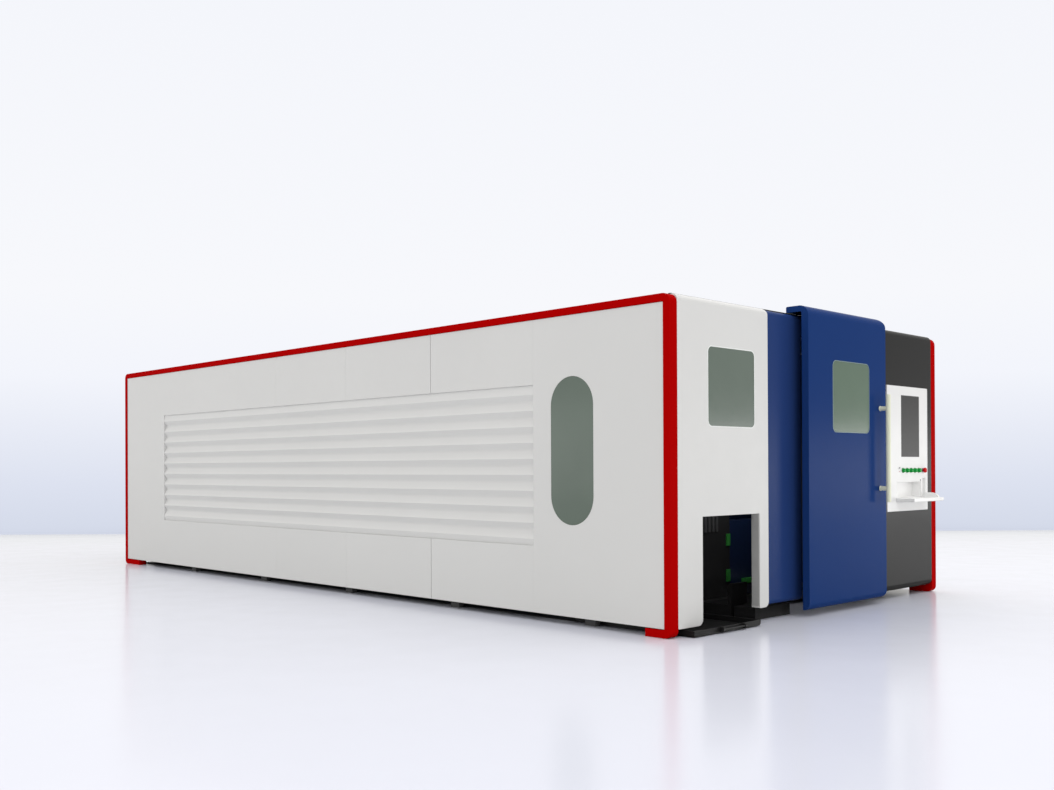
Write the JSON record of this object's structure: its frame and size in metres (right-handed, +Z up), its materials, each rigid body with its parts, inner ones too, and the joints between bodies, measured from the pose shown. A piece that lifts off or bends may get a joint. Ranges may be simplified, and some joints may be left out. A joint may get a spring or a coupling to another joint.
{
  "type": "fiber laser cutting machine",
  "caption": "Enclosed flatbed sheet-metal laser cutting machine with side louvres, a sliding safety door, an operator panel, a gantry head and an exchange pallet.",
  "frame": {"origin": "on the floor, under the middle of the outer box", "axes": "+X towards the end with the sliding door and operator panel, +Z up, so the long side with the oval window faces -Y"},
  "size_m": [8.568, 3.88, 2.366],
  "materials": {
    "red_paint": "gloss",
    "side_paint": "satin",
    "white_paint": "satin",
    "blue_paint": "satin",
    "dark_grey_paint": "satin",
    "safety_glass": "gloss",
    "handle_paint": "satin",
    "panel_paint": "satin",
    "screen": "satin",
    "green_plastic": "gloss",
    "red_plastic": "gloss",
    "black_paint": "matte",
    "navy_paint": "satin",
    "ground_steel": "ground",
    "aluminium": "satin",
    "mild_steel": "mill"
  },
  "bodies": {
    "root": {"red_band_left": "red_paint", "red_band_right": "red_paint", "side_panel_left_rear": "side_paint", "side_panel_left_upper": "side_paint", "side_panel_left_lower": "side_paint", "side_panel_left_front": "side_paint", "side_panel_right": "side_paint", "louvre_left": "side_paint", "louvre_right": "side_paint", "oval_window": "safety_glass", "end_panel_white": "white_paint", "end_window": "safety_glass", "door_portal": "blue_paint", "cabinet_front": "dark_grey_paint", "door_rail": "ground_steel", "control_panel": "panel_paint", "control_screen": "screen", "base_plinth": "black_paint", "floor_pan": "black_paint", "scrap_hopper": "black_paint", "sill_left": "black_paint", "sill_right": "black_paint", "header_beam": "black_paint", "roof_beam_front": "black_paint", "roof_beam_rear": "black_paint", "roof_panel_front": "white_paint", "roof_panel_middle": "white_paint", "roof_panel_rear": "white_paint", "rear_panel": "side_paint", "bed_beam_left": "navy_paint", "bed_beam_right": "navy_paint", "bed_front_beam": "navy_paint", "bed_rear_beam": "navy_paint", "gantry_rail_left": "ground_steel", "gantry_rail_right": "ground_steel", "electrical_cabinet": "black_paint", "laser_source": "panel_paint"},
    "door": {"sliding_door": "blue_paint", "door_window": "safety_glass", "door_handle": "handle_paint"},
    "roller_left": {"door_roller_left": "ground_steel"},
    "roller_right": {"door_roller_right": "ground_steel"},
    "gantry": {"gantry_beam": "aluminium"},
    "carriage": {"cross_carriage": "black_paint"},
    "head": {"cutting_head": "aluminium"},
    "scrap_drawer": {"scrap_tray": "black_paint", "scrap_tray_handle": "black_paint"},
    "shelf": {"keyboard_shelf": "panel_paint"},
    "button_1": {"start_button": "green_plastic"},
    "button_2": {"push_button_2": "green_plastic"},
    "button_3": {"push_button_3": "green_plastic"},
    "button_4": {"push_button_4": "green_plastic"},
    "button_5": {"push_button_5": "green_plastic"},
    "stop_button": {"emergency_stop": "red_plastic"},
    "key": {"key_switch": "black_paint"},
    "gate": {"rear_gate": "dark_grey_paint"},
    "pallet": {"pallet_frame": "navy_paint", "slat_grid": "mild_steel"},
    "rear_cabinet_door": {"cabinet_door_rear": "side_paint"},
    "front_cabinet_door": {"cabinet_door_front": "side_paint"}
  },
  "joints": [
    {"name": "door_slide", "type": "slide", "parent": "root", "child": "door", "axis": [0, -1, 0], "range_m": [0, 1.15]},
    {"name": "roller_left_spin", "type": "hinge", "parent": "door", "child": "roller_left", "pos_m": [4.009, -0.24, 2.3333], "axis": [1, 0, 0], "range_deg": [0, 3665]},
    {"name": "roller_right_spin", "type": "hinge", "parent": "door", "child": "roller_right", "pos_m": [4.009, 0.66, 2.3333], "axis": [1, 0, 0], "range_deg": [0, 3665]},
    {"name": "gantry_travel", "type": "slide", "parent": "root", "child": "gantry", "axis": [-1, 0, 0], "range_m": [0, 6.1]},
    {"name": "carriage_travel", "type": "slide", "parent": "gantry", "child": "carriage", "axis": [0, 1, 0], "range_m": [-1.25, 1.25]},
    {"name": "head_lower", "type": "slide", "parent": "carriage", "child": "head", "axis": [0, 0, -1], "range_m": [0, 0.16]},
    {"name": "scrap_drawer_slide", "type": "slide", "parent": "root", "child": "scrap_drawer", "axis": [1, 0, 0], "range_m": [0, 0.9]},
    {"name": "shelf_fold", "type": "hinge", "parent": "root", "child": "shelf", "pos_m": [4.105, 1.4375, 0.864], "axis": [0, -1, 0], "range_deg": [0, 90]},
    {"name": "button_1_push", "type": "slide", "parent": "root", "child": "button_1", "axis": [-1, 0, 0], "range_m": [0, 0.004], "stiffness_N_per_m": 400, "springref_m": -0.002},
    {"name": "button_2_push", "type": "slide", "parent": "root", "child": "button_2", "axis": [-1, 0, 0], "range_m": [0, 0.004], "stiffness_N_per_m": 400, "springref_m": -0.002},
    {"name": "button_3_push", "type": "slide", "parent": "root", "child": "button_3", "axis": [-1, 0, 0], "range_m": [0, 0.004], "stiffness_N_per_m": 400, "springref_m": -0.002},
    {"name": "button_4_push", "type": "slide", "parent": "root", "child": "button_4", "axis": [-1, 0, 0], "range_m": [0, 0.004], "stiffness_N_per_m": 400, "springref_m": -0.002},
    {"name": "button_5_push", "type": "slide", "parent": "root", "child": "button_5", "axis": [-1, 0, 0], "range_m": [0, 0.004], "stiffness_N_per_m": 400, "springref_m": -0.002},
    {"name": "stop_button_push", "type": "slide", "parent": "root", "child": "stop_button", "axis": [-1, 0, 0], "range_m": [0, 0.006]},
    {"name": "key_turn", "type": "hinge", "parent": "root", "child": "key", "pos_m": [4.092, 1.22, 1.124], "axis": [1, 0, 0], "range_deg": [0, 90]},
    {"name": "gate_lower", "type": "slide", "parent": "root", "child": "gate", "axis": [0, 0, -1], "range_m": [0, 0.45]},
    {"name": "pallet_slide", "type": "slide", "parent": "root", "child": "pallet", "axis": [1, 0, 0], "range_m": [-3, 0]},
    {"name": "rear_cabinet_door_hinge", "type": "hinge", "parent": "root", "child": "rear_cabinet_door", "pos_m": [2.7995, 1.9325, 1.15], "axis": [0, 0, 1], "range_deg": [0, 110]},
    {"name": "front_cabinet_door_hinge", "type": "hinge", "parent": "root", "child": "front_cabinet_door", "pos_m": [4.035, 1.9325, 1.15], "axis": [0, 0, -1], "range_deg": [0, 95]}
  ],
  "couplings": [
    {"joint": "roller_left_spin", "follows": "door_slide", "rad_per_m": 55.556},
    {"joint": "roller_right_spin", "follows": "door_slide", "rad_per_m": 55.556}
  ]
}
